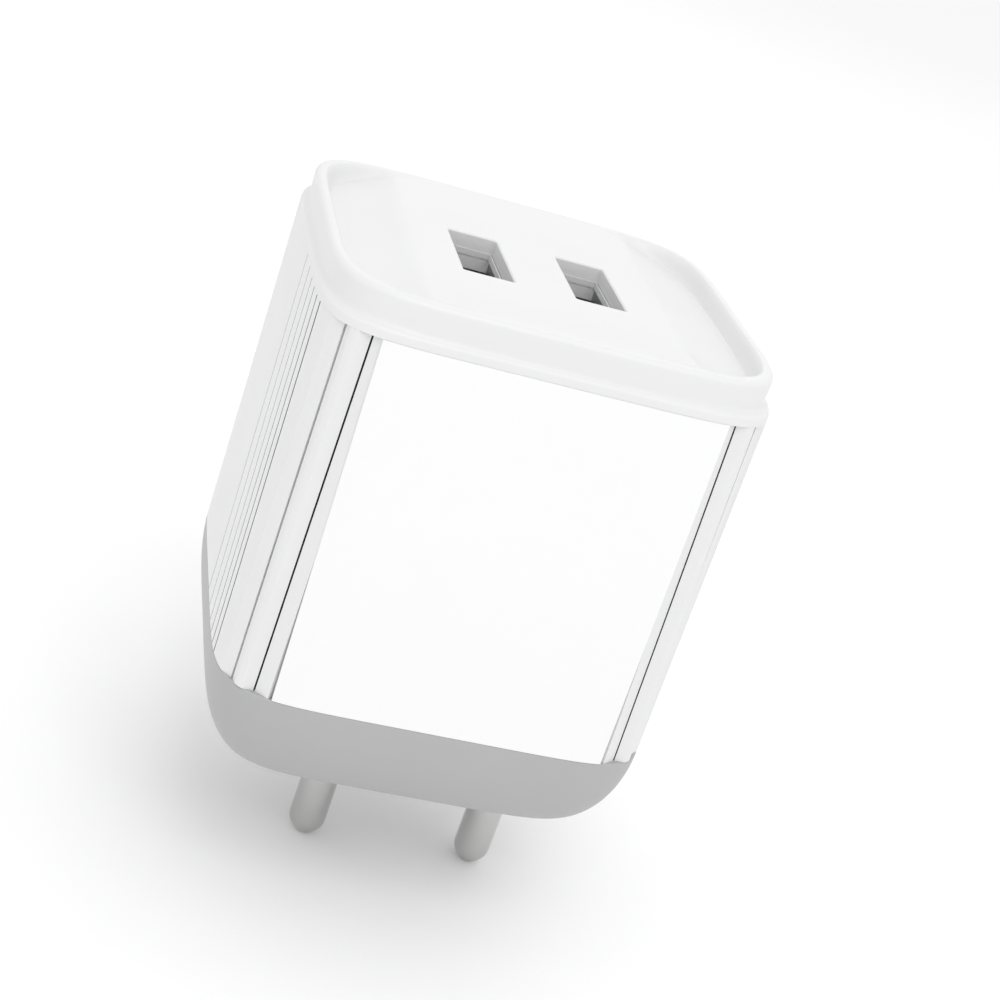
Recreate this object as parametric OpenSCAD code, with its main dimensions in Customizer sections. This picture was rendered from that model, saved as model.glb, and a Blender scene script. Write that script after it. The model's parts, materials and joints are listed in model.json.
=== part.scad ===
// USB wall charger with two round mains pins and two USB-A ports.
// The origin is the centre of the flat face that meets the wall socket.
// +Z runs from the pins to the USB face, -Y is the front panel.

/* [Housing] */
// Width of the housing, left to right
body_w = 45.2; // [37:0.1:55]
// Depth of the housing where it meets the base
body_d = 45.2; // [37:0.1:55]
// How much thinner the housing is, front to back, at its top
body_draft = 2.8; // [0:0.1:4]
// Height of the housing above the wall face
body_h = 52.4; // [43:0.1:63]
// Squareness of the housing's outline
body_power = 6.6; // [4:0.1:8]
// Wall of the sleeve
sleeve_wall = 2.4; // [2:0.1:3]

/* [Base] */
// Height of the grey base
base_h = 10.6; // [8:0.1:13]
// How far the base rounds in before it meets the wall
base_round = 5.8; // [4:0.1:7]
// Wall and floor of the base
base_wall = 2.2; // [1.6:0.1:2.6]

/* [Panels and flutes] */
// Width of the flat front and back panels
panel_w = 34; // [26:0.1:35]
// Thickness of the panels
panel_t = 1.2; // [0.8:0.1:1.4]
// Gap along each side of a panel
panel_gap = 0.2; // [0.1:0.05:0.4]
// Depth of the corner flutes
flute_depth = 0.7; // [0.4:0.05:1.1]
// Number of fine grooves on each side
groove_count = 6; // [0:1:6]
// Distance between the two foremost fine grooves
groove_pitch = 1.6; // [1.2:0.1:2]
// How much further apart each next pair of grooves is
groove_growth = 0.45; // [0:0.05:0.5]
// Width of a fine groove
groove_w = 0.24; // [0.2:0.02:0.6]

/* [USB face] */
// Height of the rim above the sleeve
rim_h = 4.2; // [3.4:0.1:5.5]
// Squareness of the rim's outline
rim_power = 5.8; // [4:0.1:8]
// How far the rim stands in from the sleeve's outline
rim_inset = 0.5; // [0.4:0.1:1.4]
// Width of the rounded lip round the face
lip_w = 1.5; // [1:0.1:2.2]
// How far the middle of the face is sunk below the lip
face_sunk = 0.6; // [0.3:0.1:1]
// How far the face's two ends are sunk below its middle
dish_depth = 1.2; // [0.6:0.1:1.6]
// Thickness of the face
face_t = 1.6; // [1.2:0.1:2]
// Width of a port opening, left to right
port_w = 5.2; // [5:0.05:5.6]
// Length of a port opening, front to back
port_l = 12.2; // [12.1:0.05:12.8]
// Distance between the centres of the two ports
port_pitch = 11.6; // [10:0.1:12.5]

/* [Mains pins] */
// Diameter of a pin
pin_d = 4; // [3.9:0.1:4.8]
// Length of a pin from the wall face to its tip
pin_l = 15; // [12:0.5:19]
// Distance between the two pins
pin_pitch = 19; // [17.5:0.1:19.2]
// Place of the pair, left to right, as a share of the room that the base leaves
pin_side = 0.94; // [-1:0.01:1]
// Place of the pair, front to back
pin_y = -4.5; // [-6:0.1:6]

/* [Boards] */
// Thickness of the circuit boards
board_t = 1.6; // [1:0.1:2]
// Place of the main board's front face, front to back
board_y = 5.2; // [4:0.1:6]
// Length of a USB socket's metal shell
shell_l = 14; // [12:0.1:14.5]
// Thickness of the shell's sheet metal
shell_t = 0.3; // [0.2:0.05:0.4]

/* [Hidden] */

$fn = 48;
ANGLES = [0, 20, 28, 33, 37, 40, 42.5, 45, 47.5, 50, 53, 57, 62, 70];
SEGMENTS = 4 * len(ANGLES);
EPS = 0.02;
CLEAR = 0.1;

// Housing levels
half_w = body_w / 2;
half_d = body_d / 2;
sleeve_top = body_h - rim_h;
top_half_d = half_d - body_draft / 2;
face_z = body_h - face_sunk;

// Inside of the sleeve
room_w = half_w - sleeve_wall;
room_d_top = top_half_d - sleeve_wall;

// Base
catch_z = base_h + 1.6;
catch_h = 1;
catch_out = 0.4;
catch_w = 8;
tongue_h = 3;
tongue_t = 1.2;

// Panels, flutes and fine grooves
stake_r = 1;
stake_x = panel_w / 2 - 5;
corner_w = half_w - panel_w / 2;
FLUTES = [[0, 0.28, 0.5], [0.6, 0.66, 0.85]];
flute_over = 0.8;
flute_rise = 1 + flute_over / flute_depth;
groove_depth = 0.4;
groove_front = 0.66 * half_d;

// USB face
shoulder_h = 1.2;
lip_r = 0.6;
skirt_h = 2.6;
skirt_t = 1.2;
face_edge = rim_inset + lip_w;
face_slope = 9;
dish_x = half_w - face_edge;
dish_run = 7.5;
dish_r = (pow(dish_run, 2) + pow(dish_depth, 2)) / (2 * dish_depth);
post_r = 1.8;
post_in = 3.6;
stake_peg_r = 0.9;

// Mains pins
pin_r = pin_d / 2;
shank_r = pin_r - 0.4;
root_clear = 0.05;
root_h = 0.1;
carrier_t = 3;
carrier_margin = 1.6;
flange_r = pin_r + 0.8;
flange_t = 1.5;
carrier_w = pin_pitch + 2 * (flange_r + carrier_margin);
carrier_d = 2 * (flange_r + carrier_margin);
floor_half_w = half_w - base_wall - base_in(base_wall / base_h);
pin_x = pin_side * (floor_half_w - carrier_w / 2);
stub_r = 1.2;
stub_l = 1.6;
carrier_z = base_wall;
strip_z = carrier_z + carrier_t;
strip_t = 0.5;
strip_w = 4;

// Boards
socket_z = face_z - face_t;
usb_board_z = socket_z - shell_l - board_t;
main_board_z = strip_z + strip_t + 0.8;
main_board_h = usb_board_z - main_board_z;
main_mid_z = main_board_z + main_board_h / 2;
board_edge = 2;
main_board_w = 2 * (room_w - board_edge);
board_back = board_y + board_t;
rail_t = 1.4;
link_pitch = 2.54;
link_w = 0.64;
link_count = 2;
link_low = 3;
link_proud = 1;

// USB sockets, the usual type A sizes
SHELL_ROOM_W = 5.12;
SHELL_ROOM_L = 12.5;
TONGUE_T = 1.84;
TONGUE_W = 11.1;
TONGUE_SIDE = 0.45;
TONGUE_BACK = 1.9;
SOCKET_BLOCK = 3;
CONTACT_Y = [-3.5, -1, 1, 3.5];
CONTACT_W = 1;
CONTACT_T = 0.25;
CONTACT_BACK = 0.8;
LEG_PROUD = 0.8;
SLOT_Y = 3;
SLOT_W = 1.6;
SLOT_H = 3;
SLOT_DEEP = 7;

// Electrical parts
core_w = 16;
core_d = 11;
core_h = 15.6;
core_gap = 0.1;
core_leg = 2.4;
core_post_r = 2.6;
bobbin_wall = 0.8;
bobbin_flange = 1;
bobbin_front = 0.4;
bobbin_back = 1;
part_gap = 0.05;
winding_r = 5.2;
core_x = -main_board_w / 2 + core_w / 2 + 1.6;
core_y = board_y - 1 - core_d / 2;
can_r = 4;
can_l = 14;
can_x = main_board_w / 2 - can_r - 1.2;
can_dz = can_r + 0.6;
can_neck_z = 1.4;
can_neck_h = 0.5;
can_neck_t = 0.3;
can_ring_in = 1;
can_ring_w = 0.6;
can_ring_t = 0.3;
can_leg_x = 1.5;
can_leg_r = 0.3;
back_right = can_x - can_leg_x - can_leg_r - 0.2;
small_can_r = 2.5;
small_can_h = 10.5;
small_can_x = 5;
small_can_y = room_d_top - 1.7 - small_can_r;
upper_row = 5.5;
lower_row = -4.5;
left_column = -9;
BRIDGE = [6, 2.2, 5];
CHIP = [5, 1.6, 4];
DIODE = [5, 2.2, 3];
USB_CHIP = [5, 4, 1.5];
choke_r = 3.4;
choke_h = 6.4;
choke_rim = 1;
choke_neck_r = 2.8;
fuse_l = 7.2;
fuse_r = 1.3;
fuse_cap_r = 1.6;
fuse_cap_l = 1.5;
disc_r = 3.4;
disc_t = 2.6;
disc_lift = 3.6;
disc_leg_x = 1.8;
disc_leg_r = 0.3;
sheet_t = 0.4;
sheet_half_w = room_w - 9;
sheet_z = base_h + 6;

// One ring of a rounded-square outline, with most of its points at the corners
function outline(a, b, power) = [
    for (quarter = [0:3]) for (angle = ANGLES)
        let (t = 90 * quarter + angle, c = cos(t), s = sin(t),
             r = pow(pow(abs(c) / a, power) + pow(abs(s) / b, power), -1 / power))
        [r * c, r * s]
];

// Half depth of the housing at a height
function depth_at(z) = half_d - body_draft / 2 * (z - base_h) / (sleeve_top - base_h);

// Place of the outer surface, front to back, at a distance from the middle and a height
function skin_y(x, z) = depth_at(z) * pow(1 - pow(abs(x) / half_w, body_power), 1 / body_power);

// The same place, left to right, at a distance from the middle and a height
function skin_x(y, z) = half_w * pow(1 - pow(abs(y) / depth_at(z), body_power), 1 / body_power);

// Half width and half depth of the base's curved side, as a share of its height
function base_in(share) = base_round * (1 - sqrt(1 - pow(1 - share, 2)));

// The points of rings, each given as [half width, half depth, power, height]
function ring_points(rings) = [
    for (r = rings) for (p = outline(r[0], r[1], r[2])) [p[0], p[1], r[3]]
];

// The faces between one ring and another
function ring_sides(from, to) = [
    for (i = [0:SEGMENTS - 1]) let (j = (i + 1) % SEGMENTS)
        [from * SEGMENTS + i, to * SEGMENTS + i, to * SEGMENTS + j, from * SEGMENTS + j]
];

// A solid through rings
module loft(rings) {
    last = len(rings) - 1;
    sides = [for (k = [0:last - 1]) each ring_sides(k, k + 1)];
    bottom = [for (i = [0:SEGMENTS - 1]) i];
    top = [for (i = [SEGMENTS - 1:-1:0]) last * SEGMENTS + i];
    polyhedron(ring_points(rings), concat([bottom], sides, [top]));
}

// A closed tube through rings, the last of which joins the first
module tube(rings) {
    polyhedron(ring_points(rings),
               [for (k = [0:len(rings) - 1]) each ring_sides(k, (k + 1) % len(rings))]);
}

// The sleeve's outline drawn in by a distance, from one height to another
module housing_body(inset, low, high) {
    loft([for (z = [low, high]) [half_w - inset, depth_at(z) - inset, body_power, z]]);
}

// A flat plate with the housing's outline drawn in by a distance
module plate(inset_w, inset_d, thickness) {
    linear_extrude(thickness) polygon(outline(half_w - inset_w, half_d - inset_d, body_power));
}

// The base's curved body, drawn in by a distance, from one height to the split
module base_body(inset, low) {
    shares = [0, 0.03, 0.08, 0.16, 0.28, 0.45, 0.7, 1];
    loft([
        for (s = shares)
            let (z = low + (base_h - low) * s, r = base_in(z / base_h) + inset)
            [half_w - r, half_d - r, body_power, z]
    ]);
}

// Both sides, left and right
module both_sides() {
    children();
    mirror([1, 0, 0]) children();
}

// Both faces, front and back
module both_faces() {
    children();
    mirror([0, 1, 0]) children();
}

// A vertical wedge cut into a front corner, leaning with the housing's draft.
// shares are its inner edge, bottom and outer edge, from the panel to the side.
// Its two walls run on past the skin, so that they cut it cleanly.
module flute(shares) {
    levels = [base_h - 1, sleeve_top + 1];
    points = [
        for (z = levels)
            let (x = [for (s = shares) panel_w / 2 + s * corner_w],
                 low = [x[1], skin_y(x[1], z) - flute_depth],
                 inner = low + flute_rise * ([x[0], skin_y(x[0], z)] - low),
                 outer = low + flute_rise * ([x[2], skin_y(x[2], z)] - low))
            for (p = [inner, low, outer]) [p[0], -p[1], z]
    ];
    polyhedron(points, [[2, 1, 0], [0, 1, 4, 3], [1, 2, 5, 4], [2, 0, 3, 5], [3, 4, 5]]);
}

// The band that a panel fills, a distance wider all round and reaching past the skin
module panel_space(grow, proud) {
    difference() {
        intersection() {
            housing_body(-proud, base_h + EPS - grow, sleeve_top - EPS + grow);
            translate([-panel_w / 2 - grow, -half_d - 1, base_h - 1])
                cube([panel_w + 2 * grow, half_d, body_h]);
        }
        housing_body(panel_t, base_h - 1, sleeve_top + 1);
    }
}

module stakes(r, from_y, length) {
    for (x = [-stake_x, stake_x], z = [base_h + 7, sleeve_top - 7])
        translate([x, from_y, z]) rotate([-90, 0, 0]) cylinder(r = r, h = length);
}

module base_cup() color("darkgray") {
    difference() {
        union() {
            difference() {
                union() {
                    plate(base_in(0.05 / base_h), base_in(0.05 / base_h), 0.05 + EPS);
                    base_body(0, 0.05);
                }
                base_body(base_wall, base_wall);
                translate([0, 0, base_h - EPS])
                    plate(sleeve_wall + CLEAR + tongue_t, sleeve_wall + CLEAR + tongue_t, 1);
            }
            difference() {
                union() {
                    translate([0, 0, base_h - 2]) plate(base_wall - 0.3, base_wall - 0.3, 2);
                    housing_body(sleeve_wall + CLEAR, base_h - EPS, base_h + tongue_h);
                    both_sides() translate([room_w - CLEAR - tongue_t, -catch_w / 2, catch_z])
                        cube([tongue_t + catch_out, catch_w, catch_h]);
                }
                translate([0, 0, -EPS])
                    housing_body(sleeve_wall + CLEAR + tongue_t, base_h - 3, base_h + tongue_h + 1);
            }
            translate([pin_x - carrier_w / 2 - 1, pin_y - carrier_d / 2 - 1, base_wall - EPS])
                cube([carrier_w + 2, carrier_d + 2, 1]);
        }
        translate([pin_x - carrier_w / 2 - CLEAR, pin_y - carrier_d / 2 - CLEAR, base_wall])
            cube([carrier_w + 2 * CLEAR, carrier_d + 2 * CLEAR, 2]);
        for (s = [-1, 1]) translate([pin_x + s * pin_pitch / 2, pin_y, -1]) {
            cylinder(r = shank_r + root_clear, h = base_wall + 2);
            cylinder(r = pin_r + root_clear, h = 1 + root_h);
        }
    }
}

module sleeve() color("white") {
    difference() {
        union() {
            tube([
                for (end = [[0, base_h], [0, sleeve_top], [sleeve_wall, sleeve_top], [sleeve_wall, base_h]])
                    [half_w - end[0], depth_at(end[1]) - end[0], body_power, end[1]]
            ]);
            both_sides() for (y = [board_y - CLEAR - rail_t, board_back + CLEAR])
                translate([room_w - board_edge - 1, y, base_h + tongue_h + 1])
                    cube([board_edge + 1.5, rail_t, usb_board_z - base_h - tongue_h - 2]);
        }
        both_faces() panel_space(panel_gap, panel_t);
        both_faces() stakes(stake_r + CLEAR, -half_d, sleeve_wall * 2);
        both_sides() both_faces() for (shares = FLUTES) flute(shares);
        both_sides() for (i = [0:1:groove_count - 1])
            let (y = i * groove_pitch + groove_growth * i * (i - 1) / 2 - groove_front)
            translate([skin_x(y, base_h) - groove_depth, y - groove_w / 2, base_h - 1])
                cube([groove_depth + 1, groove_w, body_h]);
        both_sides() translate([room_w - EPS, -catch_w / 2 - CLEAR, catch_z - CLEAR])
            cube([catch_out + CLEAR + EPS, catch_w + 2 * CLEAR, catch_h + 2 * CLEAR]);
    }
}

module panel() {
    panel_space(0, 0);
    intersection() {
        stakes(stake_r, -half_d, half_d - room_d_top - sheet_t);
        housing_body(panel_t / 2, base_h, sleeve_top);
    }
}

module front_panel() color("whitesmoke") panel();

module back_panel() color("whitesmoke") mirror([0, 1, 0]) panel();

// Rings of the rim, as [how far in, height above the sleeve, how much of the rim's own power]
function rim_ring(inset, rise, share) = [
    half_w - inset, top_half_d - inset,
    body_power + (rim_power - body_power) * share, sleeve_top + rise
];

module rim_body() {
    loft([
        rim_ring(0, 0, 0), rim_ring(0.05, 0.3, 0.1),
        rim_ring(rim_inset * 0.35, shoulder_h * 0.7, 0.3), rim_ring(rim_inset, shoulder_h, 0.5),
        rim_ring(rim_inset + 0.05, rim_h - lip_r, 1),
        for (t = [30, 60, 90])
            rim_ring(rim_inset + 0.05 + lip_r * (1 - cos(t)), rim_h - lip_r + lip_r * sin(t), 1)
    ]);
}

// A trough along each end of the face, made thicker by a distance
module dish(grow) {
    both_sides() translate([dish_x, body_d, face_z - dish_depth + dish_r])
        rotate([90, 0, 0]) cylinder(r = dish_r + grow, h = 2 * body_d, $fn = 96);
}

// The space above the face: level in the middle, rising to the lip at the front and the back
module face_space() {
    loft([
        for (rise = [0, 1, 2])
            [half_w - face_edge, top_half_d - face_slope + rise * (face_slope - face_edge),
             rim_power, face_z + rise * face_sunk]
    ]);
}

module face_cap() color("white") {
    board_w = room_w - 1.2;
    board_d = room_d_top - 1.2;
    difference() {
        union() {
            rim_body();
            translate([0, 0, sleeve_top - skirt_h]) linear_extrude(skirt_h + EPS)
                polygon(outline(room_w - CLEAR, room_d_top - CLEAR, body_power));
        }
        face_space();
        intersection() {
            dish(0);
            translate([0, 0, face_z - dish_depth - 1]) linear_extrude(face_sunk + dish_depth + 2)
                polygon(outline(half_w - face_edge, top_half_d - face_edge, rim_power));
        }
        difference() {
            translate([0, 0, sleeve_top - skirt_h - 1]) linear_extrude(socket_z - sleeve_top + skirt_h + 1)
                polygon(outline(room_w - CLEAR - skirt_t, room_d_top - CLEAR - skirt_t, body_power));
            intersection() {
                dish(face_t);
                translate([-body_w, -body_d, sleeve_top]) cube([2 * body_w, 2 * body_d, rim_h]);
            }
        }
        for (s = [-1, 1]) translate([s * port_pitch / 2 - port_w / 2, -port_l / 2, socket_z - 1])
            cube([port_w, port_l, face_t + 3]);
    }
    for (x = [-1, 1], y = [-1, 1]) translate([x * (board_w - post_in), y * (board_d - post_in), 0]) {
        translate([0, 0, usb_board_z + board_t])
            cylinder(r = post_r, h = face_z - dish_depth - usb_board_z - board_t);
        translate([0, 0, usb_board_z - 0.6]) cylinder(r = stake_peg_r, h = board_t + 1);
    }
}

module pin_carrier() color("dimgray") {
    difference() {
        translate([pin_x - carrier_w / 2, pin_y - carrier_d / 2, carrier_z])
            cube([carrier_w, carrier_d, carrier_t]);
        for (s = [-1, 1]) translate([pin_x + s * pin_pitch / 2, pin_y, 0]) {
            cylinder(r = shank_r, h = strip_z + 1);
            translate([0, 0, strip_z - flange_t]) cylinder(r = flange_r, h = flange_t + 1);
        }
    }
}

module mains_pin(side) color("silver") {
    translate([pin_x + side * pin_pitch / 2, pin_y, 0]) {
        translate([0, 0, pin_r - pin_l]) sphere(r = pin_r);
        translate([0, 0, pin_r - pin_l]) cylinder(r = pin_r, h = pin_l - pin_r);
        translate([0, 0, -EPS]) cylinder(r = shank_r, h = strip_z - flange_t + EPS);
        translate([0, 0, strip_z - flange_t]) cylinder(r = flange_r, h = flange_t);
        translate([0, 0, strip_z - EPS]) cylinder(r = stub_r, h = stub_l);
    }
}

module pin_left() mains_pin(-1);

module pin_right() mains_pin(1);

module contact_strip(side) color("gold") {
    rise = main_board_z + 2.5 - strip_z;
    translate([pin_x + side * pin_pitch / 2, 0, strip_z]) difference() {
        union() {
            translate([-strip_w / 2, pin_y - 2.4, 0]) cube([strip_w, board_y - pin_y + 2.4, strip_t]);
            translate([-strip_w / 2, board_y - strip_t, 0]) cube([strip_w, strip_t, rise]);
        }
        translate([0, pin_y, -1]) cylinder(r = stub_r, h = 3);
    }
}

module contact_strip_left() contact_strip(-1);

module contact_strip_right() contact_strip(1);

module main_board() color("darkgreen") {
    difference() {
        translate([-main_board_w / 2, board_y, main_board_z])
            cube([main_board_w, board_t, main_board_h]);
        for (x = [-1, 1], z = [-1, 1])
            translate([can_x + x * can_leg_x, board_y - 1, main_mid_z + z * can_dz])
                rotate([-90, 0, 0]) cylinder(r = can_leg_r + CLEAR, h = board_t + 2);
    }
}

module link_place() {
    for (i = [0:link_count - 1])
        translate([(i - (link_count - 1) / 2) * link_pitch, board_y - link_w / 2, 0]) children();
}

module link_pins() color("gold") {
    link_place() translate([-link_w / 2, -link_w / 2, usb_board_z - link_low])
        cube([link_w, link_w, link_low + board_t + link_proud]);
}

module usb_board() color("darkgreen") {
    post_x = room_w - 1.2 - post_in;
    post_y = room_d_top - 1.2 - post_in;
    difference() {
        translate([0, 0, usb_board_z]) linear_extrude(board_t)
            polygon(outline(room_w - 1.2, room_d_top - 1.2, body_power));
        for (x = [-1, 1], y = [-1, 1]) translate([x * post_x, y * post_y, usb_board_z - 1])
            cylinder(r = stake_peg_r + CLEAR, h = board_t + 2);
        link_place() translate([-link_w / 2, -link_w / 2, usb_board_z - 1])
            cube([link_w, link_w, board_t + 2]);
        for (s = [-1, 1]) translate([s * port_pitch / 2, 0, 0]) usb_contact_solids();
    }
}

module usb_shell(side) color("silver") {
    w = SHELL_ROOM_W + 2 * shell_t;
    l = SHELL_ROOM_L + 2 * shell_t;
    translate([side * port_pitch / 2, 0, socket_z - shell_l]) difference() {
        translate([-w / 2, -l / 2, 0]) cube([w, l, shell_l]);
        translate([-SHELL_ROOM_W / 2, -SHELL_ROOM_L / 2, -1])
            cube([SHELL_ROOM_W, SHELL_ROOM_L, shell_l + 2]);
        for (y = [-SLOT_Y, SLOT_Y]) translate([-w, y - SLOT_W / 2, shell_l - SLOT_DEEP])
            cube([2 * w, SLOT_W, SLOT_H]);
    }
}

module usb_shell_left() usb_shell(-1);

module usb_shell_right() usb_shell(1);

// The four contact strips of one socket, with their legs through the board
module usb_contact_solids() {
    low = usb_board_z - LEG_PROUD;
    for (y = CONTACT_Y) translate([TONGUE_SIDE - TONGUE_T / 2 - CONTACT_T, y - CONTACT_W / 2, low])
        cube([CONTACT_T, CONTACT_W, socket_z - TONGUE_BACK - CONTACT_BACK - low]);
}

module usb_tongue(side) color("#404040") {
    translate([side * port_pitch / 2, 0, 0]) difference() {
        union() {
            translate([-SHELL_ROOM_W / 2, -SHELL_ROOM_L / 2, socket_z - shell_l])
                cube([SHELL_ROOM_W, SHELL_ROOM_L, SOCKET_BLOCK]);
            translate([TONGUE_SIDE - TONGUE_T / 2, -TONGUE_W / 2, socket_z - shell_l])
                cube([TONGUE_T, TONGUE_W, shell_l - TONGUE_BACK]);
        }
        usb_contact_solids();
    }
}

module usb_tongue_left() usb_tongue(-1);

module usb_tongue_right() usb_tongue(1);

module usb_contacts_left() color("gold") translate([-port_pitch / 2, 0, 0]) usb_contact_solids();

module usb_contacts_right() color("gold") translate([port_pitch / 2, 0, 0]) usb_contact_solids();

// The transformer: two ferrite halves round a bobbin that carries the winding
module transformer_core() color("#303030") {
    translate([core_x, core_y, main_mid_z]) for (flip = [0, 1]) mirror([0, 0, flip]) {
        difference() {
            translate([-core_w / 2, -core_d / 2, core_gap / 2])
                cube([core_w, core_d, (core_h - core_gap) / 2]);
            translate([-core_w / 2 + core_leg, -core_d, -1])
                cube([core_w - 2 * core_leg, 2 * core_d, core_h / 2 + 1 - core_leg]);
        }
        translate([0, 0, core_gap / 2]) cylinder(r = core_post_r, h = core_h / 2 - core_leg);
    }
}

module transformer_bobbin() color("black") {
    inner = core_post_r + part_gap;
    reach = core_w / 2 - core_leg - part_gap;
    tall = core_h / 2 - core_leg - part_gap;
    translate([core_x, core_y, main_mid_z]) difference() {
        union() {
            translate([0, 0, -tall]) cylinder(r = inner + bobbin_wall, h = 2 * tall);
            for (z = [-tall, tall - bobbin_flange]) {
                translate([-reach, -core_d / 2 + bobbin_front, z])
                    cube([2 * reach, core_d - bobbin_front + bobbin_back, bobbin_flange]);
            }
        }
        translate([0, 0, -core_h]) cylinder(r = inner, h = 2 * core_h);
    }
}

module transformer_winding() color("goldenrod") {
    inner = core_post_r + part_gap + bobbin_wall;
    tall = core_h / 2 - core_leg - part_gap - bobbin_flange;
    translate([core_x, core_y, main_mid_z - tall]) difference() {
        cylinder(r = winding_r, h = 2 * tall);
        translate([0, 0, -1]) cylinder(r = inner, h = 2 * tall + 2);
    }
}

// A capacitor can standing on a surface, with a groove near its foot
module can(r, h) {
    difference() {
        cylinder(r = r, h = h);
        translate([0, 0, can_neck_z]) difference() {
            cylinder(r = r + 1, h = can_neck_h);
            translate([0, 0, -1]) cylinder(r = r - can_neck_t, h = can_neck_h + 2);
        }
        translate([0, 0, h - can_ring_t]) difference() {
            cylinder(r = r - can_ring_in, h = 1);
            cylinder(r = r - can_ring_in - can_ring_w, h = 1);
        }
    }
}

module input_capacitors() color("navy") {
    for (z = [-1, 1]) translate([can_x, board_y, main_mid_z + z * can_dz]) rotate([90, 0, 0]) {
        can(can_r, can_l);
        for (x = [-can_leg_x, can_leg_x])
            translate([x, 0, -board_t - LEG_PROUD])
                cylinder(r = can_leg_r, h = board_t + LEG_PROUD + CLEAR);
    }
}

module output_capacitors() color("darkslateblue") {
    for (x = [-small_can_x, small_can_x])
        translate([x, small_can_y, usb_board_z + board_t]) can(small_can_r, small_can_h);
}

// Parts on the back of the main board, placed from the board's middle
module on_back(x, z) {
    translate([x, board_back, main_mid_z + z]) children();
}

module bridge_rectifier() color("#202020") {
    on_back(left_column, upper_row) translate([-BRIDGE.x / 2, 0, -BRIDGE.z / 2]) cube(BRIDGE);
}

module switching_chip() color("#202020") {
    on_back(-1, upper_row) translate([-CHIP.x / 2, 0, -CHIP.z / 2]) cube(CHIP);
}

module output_diode() color("#202020") {
    on_back(back_right, upper_row) translate([-DIODE.x, 0, -DIODE.z / 2]) cube(DIODE);
}

module input_choke() color("#282828") {
    on_back(left_column, lower_row) rotate([-90, 0, 0]) difference() {
        cylinder(r = choke_r, h = choke_h);
        translate([0, 0, choke_rim]) difference() {
            cylinder(r = choke_r + 1, h = choke_h - 2 * choke_rim);
            translate([0, 0, -1]) cylinder(r = choke_neck_r, h = choke_h);
        }
    }
}

module fuse_resistor() color("seagreen") {
    on_back(0, lower_row) translate([-fuse_l / 2, fuse_cap_r, 0]) rotate([0, 90, 0]) {
        cylinder(r = fuse_r, h = fuse_l);
        for (z = [0, fuse_l - fuse_cap_l]) translate([0, 0, z]) cylinder(r = fuse_cap_r, h = fuse_cap_l);
    }
}

module safety_capacitor() color("royalblue") {
    on_back(back_right, lower_row) translate([-disc_t, disc_lift, 0]) rotate([0, 90, 0]) {
        cylinder(r = disc_r, h = disc_t);
        for (z = [-disc_leg_x, disc_leg_x]) translate([z, 0, disc_t / 2]) rotate([90, 0, 0])
            cylinder(r = disc_leg_r, h = disc_lift);
    }
}

module usb_chip() color("#202020") {
    translate([-USB_CHIP.x / 2, -small_can_y - 1.5, usb_board_z + board_t]) cube(USB_CHIP);
}

module insulation_sheet() color("ivory") {
    translate([-sheet_half_w, room_d_top - CLEAR - sheet_t, sheet_z])
        cube([2 * sheet_half_w, sheet_t, sleeve_top - skirt_h - 1 - sheet_z]);
}

base_cup();
sleeve();
front_panel();
back_panel();
face_cap();
pin_carrier();
pin_left();
pin_right();
contact_strip_left();
contact_strip_right();
main_board();
usb_board();
link_pins();
usb_shell_left();
usb_shell_right();
usb_tongue_left();
usb_tongue_right();
usb_contacts_left();
usb_contacts_right();
transformer_core();
transformer_bobbin();
transformer_winding();
input_capacitors();
output_capacitors();
safety_capacitor();
input_choke();
fuse_resistor();
bridge_rectifier();
switching_chip();
output_diode();
usb_chip();
insulation_sheet();
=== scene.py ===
# %% [markdown]
# # A USB wall charger with two mains pins
# This lesson builds the visible shell of a small wall charger: a grey base, a white
# sleeve with fluted corners, two flush panels, a dished face with two USB ports, and
# two round pins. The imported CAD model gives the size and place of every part, and the
# pieces made here take its place on screen. All lengths are in metres, so one
# millimetre is 0.001.

# %% Load the frame
import json
import bmesh
import bpy
from math import atan2, cos, hypot, pi, radians, sin, sqrt
from mathutils import Matrix, Vector


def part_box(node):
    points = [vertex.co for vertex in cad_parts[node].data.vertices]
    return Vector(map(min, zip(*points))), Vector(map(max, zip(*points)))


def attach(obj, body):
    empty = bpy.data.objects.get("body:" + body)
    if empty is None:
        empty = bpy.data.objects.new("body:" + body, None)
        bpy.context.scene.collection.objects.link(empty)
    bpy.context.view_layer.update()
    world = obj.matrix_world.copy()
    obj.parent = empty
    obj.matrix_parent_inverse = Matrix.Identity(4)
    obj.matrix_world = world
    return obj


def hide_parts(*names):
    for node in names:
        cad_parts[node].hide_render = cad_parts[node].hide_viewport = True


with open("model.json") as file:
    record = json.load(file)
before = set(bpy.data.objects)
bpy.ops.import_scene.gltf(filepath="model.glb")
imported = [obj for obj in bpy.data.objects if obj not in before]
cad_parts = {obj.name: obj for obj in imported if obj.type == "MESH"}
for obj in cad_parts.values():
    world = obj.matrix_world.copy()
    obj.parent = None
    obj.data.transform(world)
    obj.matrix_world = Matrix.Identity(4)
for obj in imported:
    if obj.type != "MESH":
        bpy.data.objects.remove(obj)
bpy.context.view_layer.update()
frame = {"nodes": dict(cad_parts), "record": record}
nodes = frame["nodes"]
MM = 0.001
print("CAD nodes:", len(nodes))

# %% [markdown]
# ## Sizes that everything shares
# The shell is one rounded square that leans in towards the top. Four numbers describe
# a level of it: half its width, half its depth, its squareness and its height. They
# are read from the CAD boxes, so the pieces fit without any trial and error.

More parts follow.
